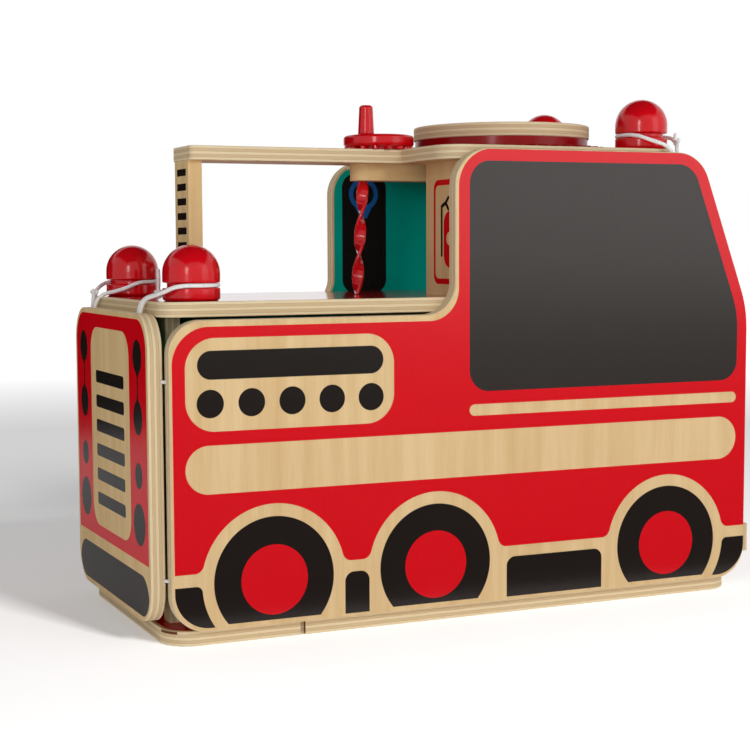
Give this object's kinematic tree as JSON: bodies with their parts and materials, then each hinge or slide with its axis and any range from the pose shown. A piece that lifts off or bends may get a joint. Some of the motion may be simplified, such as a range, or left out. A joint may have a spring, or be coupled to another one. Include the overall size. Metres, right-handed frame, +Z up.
{
  "type": "toy fire station",
  "caption": "Wooden toy fire station that folds into a fire truck, with opening panels, a crank-driven turntable and a lift.",
  "frame": {"origin": "on the ground under the middle of the closed truck's bounding box", "axes": "+X along the truck towards the cab's nose, +Y across it towards the far side panel, +Z up"},
  "size_m": [0.468, 0.206, 0.3653],
  "materials": {
    "painted_base": "satin",
    "printed_panel": "satin",
    "plywood": "satin",
    "red_lacquer": "gloss",
    "elastic": "matt"
  },
  "bodies": {
    "station": {"base_board": "painted_base", "rear_wall": "plywood", "middle_wall": "plywood", "front_wall": "plywood", "front_bumper": "painted_base", "middle_floor": "plywood", "ladder_lower": "plywood", "ladder_upper": "plywood", "deck": "painted_base", "cab_back_wall": "plywood", "windscreen": "plywood", "top_shelf": "plywood", "ladder_post": "plywood", "pole_cleat": "plywood", "twisted_pole": "red_lacquer", "dome_rear_near": "red_lacquer", "dome_rear_far": "red_lacquer", "dome_cab_near": "red_lacquer", "dome_cab_far": "red_lacquer", "dome_dowels": "plywood", "crank_axle": "plywood", "turntable_axle": "plywood", "lift_rail": "plywood"},
    "rear_panel": {"rear_panel": "printed_panel", "rear_loop_near": "elastic", "rear_loop_far": "elastic", "near_seam_ties": "elastic", "far_seam_ties": "elastic"},
    "near_side": {"near_side_panel": "printed_panel", "cab_loop_near": "elastic"},
    "far_side": {"far_side_panel": "printed_panel", "cab_loop_far": "elastic"},
    "turntable": {"turntable_gear": "red_lacquer", "turntable_disc": "plywood"},
    "crank": {"crank_wheel": "red_lacquer", "crank_peg": "red_lacquer"},
    "lift": {"lift_car": "red_lacquer"}
  },
  "joints": [
    {"name": "rear_panel_tilt", "type": "hinge", "parent": "station", "child": "rear_panel", "pos_m": [-0.224, 0, 0.01], "axis": [0, -1, 0], "range_deg": [0, 90], "deforming": ["rear_loop_near", "rear_loop_far"]},
    {"name": "near_side_swing", "type": "hinge", "parent": "rear_panel", "child": "near_side", "pos_m": [-0.224, -0.093, 0.1133], "axis": [0, 0, -1], "range_deg": [0, 90], "deforming": ["cab_loop_near", "near_seam_ties"]},
    {"name": "far_side_swing", "type": "hinge", "parent": "rear_panel", "child": "far_side", "pos_m": [-0.224, 0.093, 0.1133], "axis": [0, 0, 1], "range_deg": [0, 90], "deforming": ["cab_loop_far", "far_seam_ties"]},
    {"name": "turntable_spin", "type": "hinge", "parent": "station", "child": "turntable", "pos_m": [0.073, 0, 0.3335], "axis": [0, 0, 1], "continuous": true},
    {"name": "crank_spin", "type": "hinge", "parent": "station", "child": "crank", "pos_m": [-0.029, 0, 0.3335], "axis": [0, 0, 1], "continuous": true},
    {"name": "lift_slide", "type": "slide", "parent": "station", "child": "lift", "axis": [0, 0, 1], "range_m": [0, 0.13]}
  ],
  "couplings": [
    {"joint": "crank_spin", "follows": "turntable_spin", "ratio": -3.5333}
  ]
}
